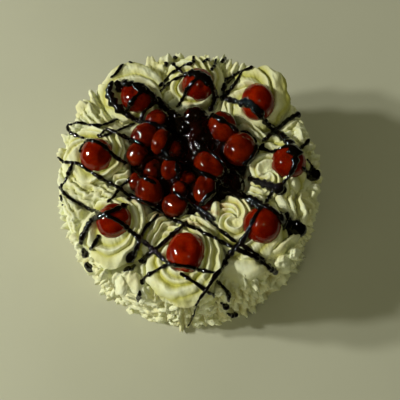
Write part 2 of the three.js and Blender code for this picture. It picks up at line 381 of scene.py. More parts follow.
syrupPaint = {
    "colors": (shade(20, 14, 8), shade(38, 15, 8)),
    "patchSize": 8,
    "patchEdge": (0.45, 0.75),
    "roughness": 0.04,
    "roughnessVary": 0.05,
    "roughnessSize": 3,
    "dents": (1.5, 2),
    "dentDepth": 0.16,
    "specular": 0.4,
}
saucePaint = {
    "colors": (shade(18, 14, 9), shade(12, 10, 7)),
    "patchSize": 5,
    "patchEdge": (0.4, 0.7),
    "roughness": 0.03,
    "roughnessVary": 0.03,
    "roughnessSize": 2.5,
    "dents": (1.7, 1),
    "dentDepth": 0.11,
    "specular": 0.6,
}


def makeGlaze(name, look):
    # a dark glossy liquid in two colours, whose surface is slightly uneven
    paint = Paint(name)
    patches = paint.noise(look["patchSize"], 2).within(*look["patchEdge"])
    return paint.finish({
        "Base Color": paint.mixed(patches, *look["colors"]),
        "Roughness": look["roughness"] + paint.noise(look["roughnessSize"]) * look["roughnessVary"],
        "Normal": paint.bump(paint.noise(*look["dents"]), look["dentDepth"]),
    }, look)


cream = makeCream(creamPaint)
brightCherry = makeCherry("glossy cherry", False, cherryPaint)
darkCherry = makeCherry("cherry in syrup", True, cherryPaint)
syrup = makeGlaze("dark syrup", syrupPaint)
sauce = makeGlaze("chocolate sauce", saucePaint)
print("materials made")


# Each swirl: its centre, its radius, the centre of its cherry and the cherry's half-width and half-length,
# the angle at which its rope ends, the place that the rope winds round, from its centre, the spacing of
# its ridges, and which way it winds.
swirls = {
    "front": [(-3.6, -51.4), 21.0, (-2.8, -48.3), (10, 10), 300, (0.6, 2.8), 4.2, 1],
    "front_left": [(-37, -32), 18.4, (-38.2, -29.5), (9, 9), 340, (0, 1), 4.5, 1],
    "left": [(-48, 9), 17.8, (-47, 7.5), (9.2, 9.2), 250, (3, 0), 4.0, 1],
    "back_left": [(-27.6, 48), 18.8, (-25.4, 40.8), (8.6, 8.6), 150, (1, -7), 7.0, -1],
    "back": [(7.4, 50), 16.4, (8.6, 46.4), (8.8, 9.2), 150, (0, -2), 4.2, 1],
    "back_right": [(40.4, 37), 18.8, (40.1, 33.6), (9.1, 10.5), 120, (-1, -3), 8.0, 1],
    "right": [(48, -4), 16.6, (52.6, -3.3), (9.2, 9.2), 200, (-6, -4), 5.6, -1],
    "front_right": [(30, -35.8), 18.6, (35.8, -36.7), (9.6, 9.6), 130, (-6.5, 3.3), 4.5, 1],
}
# How much a swirl climbs along X and along Y.
tilts = {
    "front": (0.1, -0.02),
    "front_left": (0.12, 0),
    "left": (0.06, 0),
    "back_left": (0.02, 0.06),
    "back": (0, 0.08),
    "back_right": (0.16, 0.18),
}
# The cream's side. Its outline is of [radius, height], and three numbers together are a height, a wave
# length and a seed of unevenness.
coat = {
    "foot": [[66, 0], [71, 0], [72.6, 0.3]],
    "radius": 68.6,
    "flare": 4.0,
    "rim": [[69.4, 62.6], [68.9, 64.6], [67.4, 66], [65, 66], [60, 63.6]],
    "rows": 146,
    "columns": 54,
    "columnSteps": 12,
    "columnDepth": 1.8,
    "columnWander": (0.3, 14, 3),
    "columnVary": (0.9, 0.6),
    "ledgePitch": (9, 14),
    "ledgeLean": 0.3,
    "ledgeDroop": 0.28,
    "ledgeWander": (0.14, 6, 6),
    "ledgeSize": (0.3, 1.0),
    "ledgeDepth": 5.4,
    "ledgeAtSides": 0.35,
    "ridges": 3.5,
    "ridgeDepth": 0.28,
    "ridgeWander": (1.5, 12, 7),
    "grain": (0.35, 2.6, 8),
    "tips": (2.6, 3.2),
    "backFrom": (0.1, 0.9),
    "dip": 5.0,
    "dipReach": 2.6,
    "seed": 11,
}
# The cream on top, between the swirls.
cover = {
    "rim": [[60, 59], [68.5, 60], [69.5, 62.5], [68.6, 65.4], [66, 67]],
    "level": 67,
    "rings": (65, 32.5, -1),
    "wellEdge": [[31.8, 66.5], [31.2, 64], [31, 57], [20, 56.6]],
    "rows": 96,
    "columns": 704,
    "shift": (1.0, 3.0),
    "climb": 1.6,
    "backClimb": 1.2,
    "waves": (1.1, 0.8),
    "ribDepth": 0.7,
    "tongue": 4.2,
    "tongueSide": 0.95,
    "tongueWidth": 0.6,
    "grain": (0.45, 2.8, 22),
    "crumpled": (0.2, 0.5),
    "crumple": (1, 3.4),
    "bend": (1.3, 10),
    "seeds": ((23, 27), (26, 28)),
    "backRise": 2.2,
}
dollop = {
    "ring": (30, 72),
    "spacing": 7,
    "tries": 9000,
    "placeSeed": 24,
    "seed": 25,
    "sizes": (0.5, 1.1),
    "ridgePitch": 3.3,
    "height": 3.0,
    "sink": 2.8,
}


def pleats(angle, travel):
    # columns with round backs, and up each column a stack of ledges: a ledge swells outwards as it rises,
    # then turns in sharply, and droops at both sides; they are deepest towards -Y. Fine ridges run up the
    # columns. Gives the relief, and a mask of painted shade between the columns and at the foot of each
    # ledge
    draw = np.random.default_rng(coat["seed"])
    count = coat["columns"]
    around = stacked(coat["radius"] * np.cos(angle), coat["radius"] * np.sin(angle), travel)
    wide, narrow = coat["columnVary"]
    place = count * (angle % fullTurn) / fullTurn + rumple(around, coat["columnWander"])
    place += wide * np.sin(5 * angle + 1) + narrow * np.sin(11 * angle)
    column = np.floor(place).astype(int) % count
    across = 2 * (place % 1) - 1
    start = draw.uniform(0, 1, count)
    lean = draw.uniform(-coat["ledgeLean"], coat["ledgeLean"], count)
    pitch = draw.uniform(*coat["ledgePitch"], count)
    droop = coat["ledgeDroop"] * across ** 2
    step = travel / pitch[column] + start[column] + droop + lean[column] * across
    step += rumple(around, coat["ledgeWander"])
    kinds = 16
    size = draw.uniform(*coat["ledgeSize"], (count, kinds))[column, np.floor(step).astype(int) % kinds]
    rise = step % 1
    swell = smooth(rise, -0.3, 0.7) * (1 - smooth(rise, 0.8, 1.0))
    back = 1 - np.abs(across) ** 2.4
    ridge = np.cos(fullTurn * coat["ridges"] * (place % 1) + rumple(around, coat["ridgeWander"]))
    least = coat["ledgeAtSides"]
    size = size * (least + (1 - least) * back) * (1 + 0.16 * ridge)
    deep = coat["ledgeDepth"] * (0.5 + 0.5 * smooth(-np.sin(angle), -0.1, 0.6))
    relief = coat["columnDepth"] * (2 * back - 1.3) + deep * (size * swell - 0.3)
    relief += coat["ridgeDepth"] * ridge + rumple(around, coat["grain"])
    # painted shade between the columns and at the foot of each ledge
    creaseAndShade = (1 - back) ** 1.5 * 0.55 + (1 - smooth(rise, 0, 0.22)) * 0.35
    return relief, np.clip(creaseAndShade, 0, 1)


def inwards(angle):
    # how far the cream reaches into the well: a bell about one side of it
    apart = (angle + cover["tongueSide"] + math.pi) % fullTurn - math.pi
    return cover["tongue"] * np.exp(-(apart / cover["tongueWidth"]) ** 2)


def swirlDip(x, y):
    # how far the coat sinks: fully under each swirl, and as a bell of the distance from its edge
    dip = np.zeros(np.broadcast(x, y).shape)
    for (centreX, centreY), size, *_ in swirls.values():
        edge = np.hypot(x - centreX, y - centreY) - size
        dip = np.maximum(dip, np.exp(-((np.maximum(edge, 0) / coat["dipReach"]) ** 2)))
    return dip * coat["dip"]


def coverHeight(angle, radius):
    # the cream between the swirls climbs outwards, more at the back, in waves of three and five to the
    # turn, with ribs in step with the side's columns
    threefold, fivefold = cover["waves"]
    uneven = threefold * np.sin(3 * angle + 0.7)
    uneven = uneven + fivefold * np.sin(5 * angle + radius / 9)
    ribs = cover["ribDepth"] * np.cos(coat["columns"] * angle) * np.sin(radius / 3.1)
    outwards = smooth(radius, 30, 60)
    height = 66.2 + cover["climb"] * outwards
    height = height + cover["backClimb"] * np.maximum(0, np.sin(angle)) * outwards
    return height + outwards * uneven + ribs


def makeSide():
    # the outline is turned, and each point moves outwards by the pleats; it curls over the rim and dips
    # under the cream on top, with tips at the back
    angle = ringOf(coat["columns"] * coat["columnSteps"])
    heights = np.arange(0.8, 61, 2)
    wall = [[coat["radius"] + coat["flare"] * (1 - level / 62), level] for level in heights]
    outline = evenly(coat["foot"] + wall + coat["rim"], coat["rows"])
    outward = outwardOf(outline)
    travel = travelOf(outline)[:, None]
    depth = smooth(outline[:, 1:], 0, 1.2) * smooth(outline[:, :1], 58, 64)
    relief, creaseAndShade = pleats(angle, travel)
    relief = relief * depth
    low, high = coat["tips"]
    points = np.abs(np.cos(coat["columns"] * angle / 2 + 2 * np.sin(9 * angle))) ** 0.5
    tips = (low + high * points) * smooth(np.sin(angle), *coat["backFrom"])
    tops = smooth(outline[:, 1:], 54, 66)
    rise = ((coverHeight(angle, cover["rim"][-1][0]) - cover["level"]) * 0.8 + tips) * tops
    radius = outline[:, :1] + relief * outward[:, :1]
    x, y = radius * np.cos(angle), radius * np.sin(angle)
    rise = rise - swirlDip(x, y) * tops
    height = np.maximum(outline[:, 1:] + relief * outward[:, 1:] + rise, 0)
    # the creases' painted shade goes with the mesh as its share
    return meshOf("cream_side", [stacked(x, y, height)], [creaseAndShade * depth])


# Dabs of cream between the swirls: place, half-length, half-width, height, direction of the length in
# degrees, and the number of ridges along it.
dabs = [
    [(-19, -34.5), 12, 8.5, 10.5, 50, 5],
    [(-25.5, -26), 9, 6, 8.4, 112, 3],
    [(-25, -67), 5.5, 3.4, 3.6, 62, 1],
    [(-25, -58), 8, 4, 3.4, 70, 2],
    [(-55, -9), 12, 8, 7.0, 150, 4],
    [(-64, -16), 10, 5, 4.4, 110, 3],
    [(-64, -30), 10, 5, 3.0, 100, 3],
    [(-52, 35), 12, 8, 6.4, 118, 4],
    [(-60, 27), 8, 5, 3.8, 150, 2],
    [(-62.5, 26), 5.5, 5, 5.4, 120, 1],
    [(-44, 46), 8, 6, 4.2, 125, 3],
    [(-34, 14), 10, 4.5, 8.0, 116, 3],
    [(-33.5, -4), 9, 7.5, 9.0, 30, 4],
    [(-43, -13), 8, 5.5, 7.6, 140, 3],
    [(-7, 47), 10, 6, 8.0, 62, 3],
    [(-14, 60), 8, 7, 3.8, 80, 3],
    [(-2, 63), 8, 6, 3.6, 95, 3],
    [(20.5, 57), 8, 2.4, 5.6, 90, 1],
    [(26.5, 57), 5, 2.4, 5.6, 85, 1],
    [(14, 65), 7, 5, 3.8, 60, 2],
    [(26, 36), 7, 5, 7.4, 70, 3],
    [(36, 18), 9, 6, 7.4, -42, 3],
    [(55.5, 11), 7, 3.2, 6.0, -38, 1],
    [(61.5, 14.5), 4.6, 2.8, 6.2, 100, 1],
    [(60, 33), 8, 2.2, 5.0, 95, 1],
    [(45, 11), 6, 5, 8.0, -30, 2],
    [(38, -17), 8, 5, 8.4, 150, 3],
    [(47.4, -25), 7.5, 5, 9.6, 108, 1],
    [(52.6, -24.4), 10.5, 2.4, 9.2, 95, 1],
    [(57.6, -27), 10, 2.2, 8.2, 97, 1],
    [(61.5, -30), 3, 1.8, 7.4, 75, 1],
    [(65, -19), 2.6, 2.2, 7.0, 0, 1],
    [(46.6, -46.2), 11, 2.6, 9.2, 26, 1],
    [(26.8, -56.6), 15, 8.5, 7.2, -25, 1],
    [(23, -60.5), 4.5, 1.5, 5.6, 125, 1],
    [(35, -63), 3, 1.7, 4.8, 100, 1],
    [(12, -68), 2.4, 2.2, 7.0, 0, 1],
    [(14, -64), 6, 4, 3.0, 60, 2],
    [(7.6, -32.6), 9.5, 6, 11, -35, 3],
    [(12.6, -27), 7.5, 5, 11.4, 75, 1],
    [(-4, -30), 6, 3.4, 8.4, 10, 2],
    [(-6, 36), 6, 4, 2.6, 60, 2],
]


def scattered(look):
    # seeded places in a ring about the axis, kept a spacing apart
    draw = np.random.default_rng(look["placeSeed"])
    low, high = look["ring"]
    kept = []
    for _ in range(look["tries"]):
        radius = math.sqrt(draw.uniform(low ** 2, high ** 2))
        angle = draw.uniform(0, fullTurn)
        place = (radius * math.cos(angle), radius * math.sin(angle))
        if all(math.dist(place, other) > look["spacing"] for other in kept):
            kept.append(place)
    return np.array(kept)


def dollops(x, y, look):
    # each point belongs to its nearest place, by a distance that is shorter along the radius; height
    # falls to a crease half-way to the next, and each place has its own direction of ridges
    places = scattered(look)
    draw = np.random.default_rng(look["seed"])
    heading = np.arctan2(places[:, 1], places[:, 0]) + draw.normal(0, 0.4, len(places))
    size = draw.uniform(*look["sizes"], len(places))
    height = np.zeros(x.shape)
    creaseAndShade = np.zeros(x.shape)
    for row in range(len(x)):
        along, over = alongOver(x[row][:, None] - places[:, 0], y[row][:, None] - places[:, 1], heading)
        apart = np.hypot(along / 1.7, over / 0.8)
        order = np.argsort(apart, axis=1)[:, :2]
        near, second = np.take_along_axis(apart, order, axis=1).T
        own = order[:, :1]
        across = math.pi * np.take_along_axis(over, own, axis=1)[:, 0] / look["ridgePitch"]
        ridge = np.abs(np.sin(across)) ** 0.7
        # nearness to the crease: it lowers the height, and is also painted shade
        creaseAndShade[row] = np.exp(-(second - near) / 0.9)
        height[row] = size[own[:, 0]] * (1 - creaseAndShade[row]) * (0.5 + 0.5 * ridge)
    return height, creaseAndShade


def makeCover():
    # rings of points from the underside over the rim and inwards to the well, whose middle they shift to.
    # On top, the height is the cover's, with creased dollops over coordinates that are bent broadly and,
    # where the cream is crumpled, finely; a dab is a bent dome with ridges along it
    rings = [[radius, cover["level"]] for radius in np.arange(*cover["rings"])]
    outline = evenly(cover["rim"] + rings + cover["wellEdge"], cover["rows"])
    angle = ringOf(cover["columns"])
    radius = outline[:, :1] * np.ones_like(angle)
    middle = 1 - smooth(outline[:, :1], 32, 60)
    radius = radius - inwards(angle) * middle
    shiftX, shiftY = cover["shift"]
    x = radius * np.cos(angle) + shiftX * middle
    y = radius * np.sin(angle) + shiftY * middle
    own = np.hypot(x, y)
    turn = np.arctan2(y, x)
    onTop = smooth(outline[:, 1:], 60, 66.6)
    flat = stacked(x, y, 0 * x)
    lift = coverHeight(turn, own) - cover["level"] + rumple(flat, cover["grain"])
    least, more = cover["crumpled"]
    crumpled = least + more * smooth(-x, 28, 44)
    bentX, bentY = [
        line + rumple(flat, (*cover["bend"], broad)) + crumpled * rumple(flat, (*cover["crumple"], fine))
        for line, (broad, fine) in zip((x, y), cover["seeds"])
    ]
    # the dollops give their height and the painted shade of their creases
    relief, creaseAndShade = dollops(bentX, bentY, dollop)
    atBack = cover["backRise"] * smooth(np.sin(turn), *coat["backFrom"]) * smooth(own, 50, 62)
    lift += dollop["height"] * relief - dollop["sink"] + atBack
    lift -= swirlDip(x, y)
    for (dabX, dabY), length, width, high, heading, ridges in dabs:
        along, over = alongOver(bentX - dabX, bentY - dabY, math.radians(heading))
        along = along / length
        over = over / width + 0.3 * along ** 2
        dome = np.sqrt(np.clip(1 - along ** 4 - np.abs(over) ** 3, 0, 1))
        ridge = np.abs(np.sin(math.pi / 2 * ridges * (over + 1))) ** 0.7
        raised = high * dome * (0.5 + 0.5 * ridge) - 1.6
        # painted shade in the valleys between a dab's ridges
        creaseAndShade = np.where(raised > lift, (1 - ridge) * dome, creaseAndShade)
        lift = np.maximum(lift, raised)
    height = outline[:, 1:] + lift * onTop
    return meshOf("cream_top", [stacked(x, y, height)], [creaseAndShade * onTop])


coatSide = placed(makeSide(), cream, "cream", "cream_coat")
coatTop = placed(makeCover(), cream, "cream", "cream_coat")
print("cream coat made")


# The rope of a swirl: its domed outline is of shares of the radius and heights above its foot.
rope = {
    "foot": 62.4,
    "shares": [0.7, 0.94, 1.0, 1.03, 1.03, 0.99, 0.92, 0.82, 0.7, 0.57, 0.42, 0.22, 0.06],
    "heights": [-1, -0.8, 0.6, 4.6, 8.2, 10.8, 12.6, 13.7, 14.3, 14.7, 14.8, 14.5, 14.2],
    "rows": 84,
    "columns": 252,
    "arms": 4,
    "wander": (0.9, 15, 31),
    "squeeze": 0.16,
    "squeezeSide": 20,
    "lipFrom": 0.8,
    "lipStretch": 0.6,
    "gather": 0.42,
    "calm": 0.35,
    "ridgeDepth": 2.1,
    "ridgeVary": (0.35, 12, 34),
    "roundness": 0.85,
    "grooveDepth": 1.4,
    "unevenness": 1.0,
    "heartDepth": 0.25,
    "grain": (0.15, 3.5, 32),
    "swell": (0.6, 13, 33),
    "crimpDepth": 0.14,
    "crimpPitch": 1.9,
    "crimpWander": (2, 9, 35),
    "lumps": (0.9, 8, 36),
    "tail": 0.14,
}


def makeSwirl(place, index):
    # a domed outline is turned. Seen from above, ridges wind outwards as a spiral of several arms, and
    # once in a full set of arms a deeper groove parts one turn of the rope from the next. The skirt is
    # crimped and lumpy, and swells towards the rope's end
    (centreX, centreY), radius, _, _, end, heart, pitch, sense = swirls[place]
    corners = np.stack([np.array(rope["shares"]) * radius, rope["heights"]], axis=1)
    outline = rounded(evenly(corners, rope["rows"]), 1.8)
    outward = outwardOf(outline)
    level = outline[:, 1:]
    angle = ringOf(rope["columns"])
    x, y = outline[:, :1] * np.cos(angle), outline[:, :1] * np.sin(angle)
    flat = stacked(x, y, 0 * angle + 40 * index)
    nearHeart = np.hypot(x - heart[0], y - heart[1])
    aroundHeart = np.arctan2(y - heart[1], x - heart[0])
    turns = (aroundHeart - math.radians(end)) / fullTurn * sense % 1
    slope = np.maximum(0, 8 - level) * 0.45
    squeeze = 1 + rope["squeeze"] * np.cos(aroundHeart - math.radians(rope["squeezeSide"]))
    lip = rope["lipFrom"] * radius
    fromHeart = np.minimum(nearHeart, lip) + rope["lipStretch"] * np.maximum(0, nearHeart - lip)
    fromHeart = radius * np.hypot(fromHeart / radius, rope["calm"]) ** rope["gather"] / rope["gather"]
    travelled = fromHeart * squeeze + slope + rumple(flat, rope["wander"])
    winding = travelled / (pitch * rope["arms"]) - turns + 0.35
    arm = np.floor(rope["arms"] * winding).astype(int)
    skew = np.exp(0.6 * np.sin(3.1 * arm + index))
    ridge = (1 - np.abs(2 * (rope["arms"] * winding % 1) ** skew - 1)) ** rope["roundness"]
    groove = np.abs(2 * (winding % 1) - 1) ** 8
    worked = smooth(level, -0.5, 3)
    opened = rope["heartDepth"] + (1 - rope["heartDepth"]) * smooth(nearHeart, 1, 6.5)
    deep = rope["ridgeDepth"] * (1 + rumple(flat, rope["ridgeVary"])) * opened
    relief = (ridge - 1) * deep - groove * rope["grooveDepth"]
    relief += rope["unevenness"] * np.sin(5.3 * arm + 2 * index) * ridge * (1 - groove)
    relief = relief * worked + rumple(flat, rope["grain"]) + rumple(flat, rope["swell"])
    crimps = round(fullTurn * radius / rope["crimpPitch"])
    crimp = np.cos(angle * crimps + rumple(flat, rope["crimpWander"]))
    relief += rope["crimpDepth"] * crimp * (1 - smooth(level, 4, 9))
    lumps = rumple(flat + stacked(0, 0, level), rope["lumps"])
    relief += lumps * (1 - smooth(level, 6, 11)) * worked
    tail = (turns - 0.6) * smooth(turns, 0, 0.04)
    relief += rope["tail"] * radius * tail * (1 - smooth(level, 9, 14))
    across = outline[:, :1] + relief * outward[:, :1]
    height = rope["foot"] + level + relief * outward[:, 1:]
    climbX, climbY = tilts.get(place, (0, 0))
    height += (climbX * x + climbY * y) * worked
    grid = stacked(centreX + across * np.cos(angle), centreY + across * np.sin(angle), height)
    # painted shade in the valleys between ridges and in the deeper grooves
    creaseAndShade = (1 - ridge) ** 1.2 + 0.6 * groove
    return meshOf("swirl_of_cream_" + place, [grid], [creaseAndShade * worked * opened])


swirlPieces = [
    placed(makeSwirl(place, index), cream, "cream", "swirl_" + place) for index, place in enumerate(swirls)
]
print("swirls made")


ringCherryHeight = 75.2
# How much deeper the red of each cherry on a swirl is, in the swirls' order.
ringCherryDepths = [0.03, 0.16, 0.25, 0.4, 0.36, 0.22, 0.42, 0.36]
# The cherries of the mound: centre, half-length, half-width, direction of the length in degrees, and how
# far the syrup climbs up it, from -1 at its foot to 1 at its top.
moundCherries = [
    [(28.5, 6, 74.5), 9.3, 8.8, 90, -0.5],
    [(12, -2.5, 75), 9.6, 7.2, -50, -0.1],
    [(-12.5, 13, 75.5), 7.8, 5.8, 75, 0.0],
    [(-21.5, 18, 73), 8, 7, 20, -0.3],
    [(20.4, 20.5, 73), 9.2, 7.8, 100, -0.2],
    [(-8, -3, 75.2), 6.6, 5.8, 100, 0.0],
    [(-19.8, -14.2, 74), 8.6, 7.4, -50, -0.3],
    [(8.8, -14.6, 74.4), 8.6, 6, 65, -0.1],
    [(-6.6, -22.4, 73), 7.4, 6.6, 10, -0.1],
    [(-25.8, 7.5, 73), 6.8, 6.2, 90, -0.1],
    [(-14.5, 27.5, 72), 7, 6.4, 0, 0.1],
    [(5.8, 28.4, 71), 7, 6.4, 0, 0.8],
    [(-4.5, 8.5, 71.4), 6.8, 6, 90, 0.45],
    [(-16.6, -1.6, 71), 7, 6.6, 0, 0.4],
    [(0.5, -8, 71.6), 6, 5.6, 0, 0.3],
    [(-3.4, -13.8, 70.8), 6.6, 6, 0, 0.35],
    [(8.6, -22.2, 69.6), 6.6, 5.8, 20, 0.2],
    [(-26, -6.6, 70.4), 6, 5.4, 60, 0.2],
    [(10, 12, 68.6), 7.4, 6.8, 30, 0.75],
    [(22.6, -11, 68.4), 7.4, 6.6, -30, 0.7],
]
ball = {
    "rows": 44,
    "columns": 64,
    "pole": 0.015,
    "dimple": 0.13,
    "dimpleReach": 0.42,
    "seam": 0.035,
    "uneven": (0.03, 1.6, 41),
    "moundUnevenness": 1.3,
    "dents": (0.007, 0.35, 42),
}


def turned(points, axis, angle):
    return points @ np.array(Matrix.Rotation(angle, 3, axis)).T


def makeBall(name, centre, halfLength, halfWidth, turn, index, unevenness=1.0, wet=None, depth=0.0):
    # a ball with a dimple at its stem end and a shallow seam down one side, both bells of the distance
    # from them, leaning by its own angles; its share is its depth of red, or the syrup on it, which thins
    # out about the height that it is wet to, and reaches higher on the side away from -X as painted shade
    # on the side turned from the lamps
    unit, polar, angle = ballOf(ball["rows"], ball["columns"], ball["pole"])
    dimple = ball["dimple"] * np.exp(-((polar / ball["dimpleReach"]) ** 2) * 2)
    fromSeam = np.sin(angle / 2) * np.sin(polar) / 0.16
    seam = ball["seam"] * np.exp(-(fromSeam ** 2)) * smooth(-polar, -2.2, -0.2)
    height, size, seed = ball["uneven"]
    radius = 1 - dimple - seam + rumple(unit + index * 7, (height * unevenness, size, seed))
    radius += rumple(unit + index * 3, ball["dents"])
    points = unit * radius[..., None]
    points = turned(points, "X", 0.8 * math.sin(index * 2.1))
    points = turned(points, "Z", index * 1.3)
    upright = halfWidth * (0.97 + 0.04 * math.sin(index * 1.7))
    points = turned(points * (halfLength, halfWidth, upright), "Z", math.radians(turn))
    if wet is None:
        return meshOf(name, [points + centre], [np.full(points.shape[:2], depth)])
    # lower on the ball it is wet with syrup; towards +X the dark colour is painted shade, away from the
    # lamps
    exposedAndLit = (points[..., 2] * 0.85 - points[..., 0] * 0.45) / upright - 0.2
    return meshOf(name, [points + centre], [1 - smooth(exposedAndLit, wet - 0.3, wet + 0.7)])


cherryPieces = []
for index, (place, (_, _, (cherryX, cherryY), (halfWidth, halfLength), *_)) in enumerate(swirls.items()):
    name = "ring_cherry_" + place
    centre = (cherryX, cherryY, ringCherryHeight)
    piece = makeBall(name, centre, halfLength, halfWidth, 90, index, depth=ringCherryDepths[index])
    cherryPieces.append(placed(piece, brightCherry, "cherry", "cherry_" + place))
for index, (centre, halfLength, halfWidth, turn, wet) in enumerate(moundCherries):
    name = "cherry_in_syrup_" + str(index + 1)
    order = len(swirls) + index
    piece = makeBall(name, centre, halfLength, halfWidth, turn, order, ball["moundUnevenness"], wet)
    cherryPieces.append(placed(piece, darkCherry, "cherry", "mound_cherry_" + str(index + 1)))
print("cherries made")


well = {
    "radius": 31.3,
    "floor": 56.4,
    "edge": 65,
    "crown": 70.5,
    "climb": 3.2,
    "climbReach": 1.8,
    "limit": 77.5,
    "ripples": (0.35, 7, 51),
    "columns": 200,
    "floorRows": 8,
    "wallRows": 5,
    "topRows": 80,
}
# Where the syrup stands higher: place, reach and height.
puddles = [
    [(4, 24), 12, 6.5],
    [(9, 13), 8, 5],
    [(-8, 33), 6, 5],
    [(22, -10), 9, 3.5],
    [(-21, 2), 7, 3],
]


def makeSyrupPool():
    # a low dome whose height falls with the square of the radius, swells at the puddles, and climbs a
    # little at each cherry; under it a wall and a flat floor
    onFloor, onWall = well["floorRows"], well["floorRows"] + well["wallRows"]
    share = np.concatenate([
        np.linspace(0.05, 1, onFloor),
        np.ones(well["wallRows"]),
        np.linspace(0.995, 0.01, well["topRows"]),
    ])[:, None]
    angle = ringOf(well["columns"])
    radius = (well["radius"] - inwards(angle)) * share
    middleX, middleY = cover["shift"]
    x = middleX + radius * np.cos(angle)
    y = middleY + radius * np.sin(angle)
    top = well["edge"] + (well["crown"] - well["edge"]) * (1 - share ** 2) + 0 * angle
    for (puddleX, puddleY), reach, high in puddles:
        apart = np.hypot(x - puddleX, y - puddleY) / reach
        top = top + high * (1 - smooth(apart, 0.35, 1))
    for (cherryX, cherryY, _), halfLength, halfWidth, turn, _ in moundCherries:
        along, over = alongOver(x - cherryX, y - cherryY, math.radians(turn))
        apart = (np.hypot(along / halfLength, over / halfWidth) - 1) * (halfLength + halfWidth) / 2
        top = top + well["climb"] * np.exp(-np.abs(apart) / well["climbReach"])
    top = np.minimum(top, well["limit"]) + rumple(stacked(x, y, 0 * x), well["ripples"])
    height = top.copy()
    height[:onFloor] = well["floor"]
    up = np.linspace(0, 0.95, well["wallRows"])[:, None]
    height[onFloor:onWall] = well["floor"] + (top[onFloor:onWall] - well["floor"]) * up
    return meshOf("syrup_pool", [stacked(x, y, height)])


pool = placed(makeSyrupPool(), syrup, "syrup", "syrup")
print("syrup made")


# The sauce lands on the cake along lines from one point above it.
pour = {
    "point": Vector((5.62, -125.1, 353.2)),
    "level": 72,
    "step": 0.6,
    "sides": 12,
    "softness": 2.4,
    "wobble": 0.4,
    "wobbleLength": 7,
    "wobbleSeeds": (62, 63),
    "thickness": 0.9,
    "beads": (0.38, 4.0, 64),
    "flatness": 0.8,
    "lift": (0.3, 0.8),
    "sideLift": 0.7,
    "slack": 1.7,
    "high": 79,
    "tallest": 1.6,
    "deepest": 2.8,
    "leastPoints": 5,
    "dropHeight": 0.6,
    "dropRise": 0.42,
    "dropUneven": 0.07,
}
